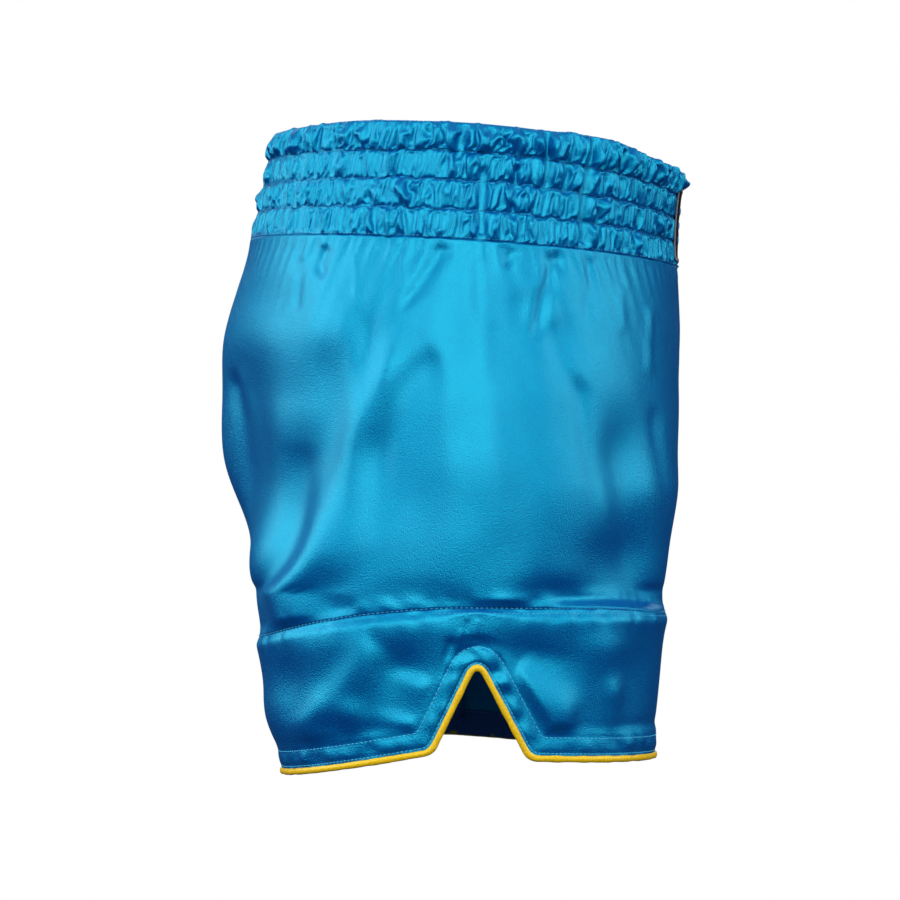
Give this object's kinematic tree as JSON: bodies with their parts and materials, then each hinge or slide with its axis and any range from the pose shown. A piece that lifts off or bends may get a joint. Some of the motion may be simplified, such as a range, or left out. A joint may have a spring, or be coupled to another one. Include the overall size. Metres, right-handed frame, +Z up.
{
  "type": "boxing shorts",
  "caption": "Satin boxing shorts with a gathered elastic waistband, wide wrap-round legs, piped hems and notched sides.",
  "frame": {"origin": "centre of the waist opening, level with the waistband's top edge at the back", "axes": "+Z up out of the waist, -Y towards the wearer's front, -X towards the wearer's right"},
  "size_m": [0.3944, 0.2761, 0.3738],
  "materials": {
    "satin": "glossy woven polyester satin, cyan-blue",
    "lining_satin": "the satin's duller reverse",
    "elastic": "woven elastic tape, matte",
    "thread": "polyester sewing thread",
    "overlock_thread": "overlocked thread, matte",
    "piping": "satin bias tape, yellow",
    "label_ground": "damask-woven label, black",
    "label_border": "merrowed thread edge, pale",
    "label_motif": "embroidered thread, blue",
    "care_tape": "satin ribbon, white, blank",
    "eyelet_metal": "nickel-plated brass"
  },
  "bodies": {
    "root": {"waistband_outer_casing": "satin", "waistband_inner_casing": "lining_satin", "waist_seam_stitch": "thread", "drawcord_eyelet_right": "eyelet_metal", "drawcord_eyelet_left": "eyelet_metal", "elastic_row_1": "elastic", "elastic_row_2": "elastic", "elastic_row_3": "elastic", "elastic_row_4": "elastic", "channel_stitch_1": "thread", "channel_stitch_2": "thread", "channel_stitch_3": "thread", "front_label_patch": "label_ground", "front_label_border": "label_border", "front_label_motif": "label_motif", "care_label": "care_tape", "centre_seam_overlock": "overlock_thread", "right_body_panel": "satin", "right_hem_band": "satin", "right_hem_facing": "lining_satin", "right_hem_piping": "piping", "right_inseam_overlock": "overlock_thread", "right_band_seam_stitch": "thread", "right_facing_stitch": "thread", "right_hem_edge_stitch": "thread", "left_body_panel": "satin", "left_hem_band": "satin", "left_hem_facing": "lining_satin", "left_hem_piping": "piping", "left_inseam_overlock": "overlock_thread", "left_band_seam_stitch": "thread", "left_facing_stitch": "thread", "left_hem_edge_stitch": "thread"}
  },
  "joints": []
}
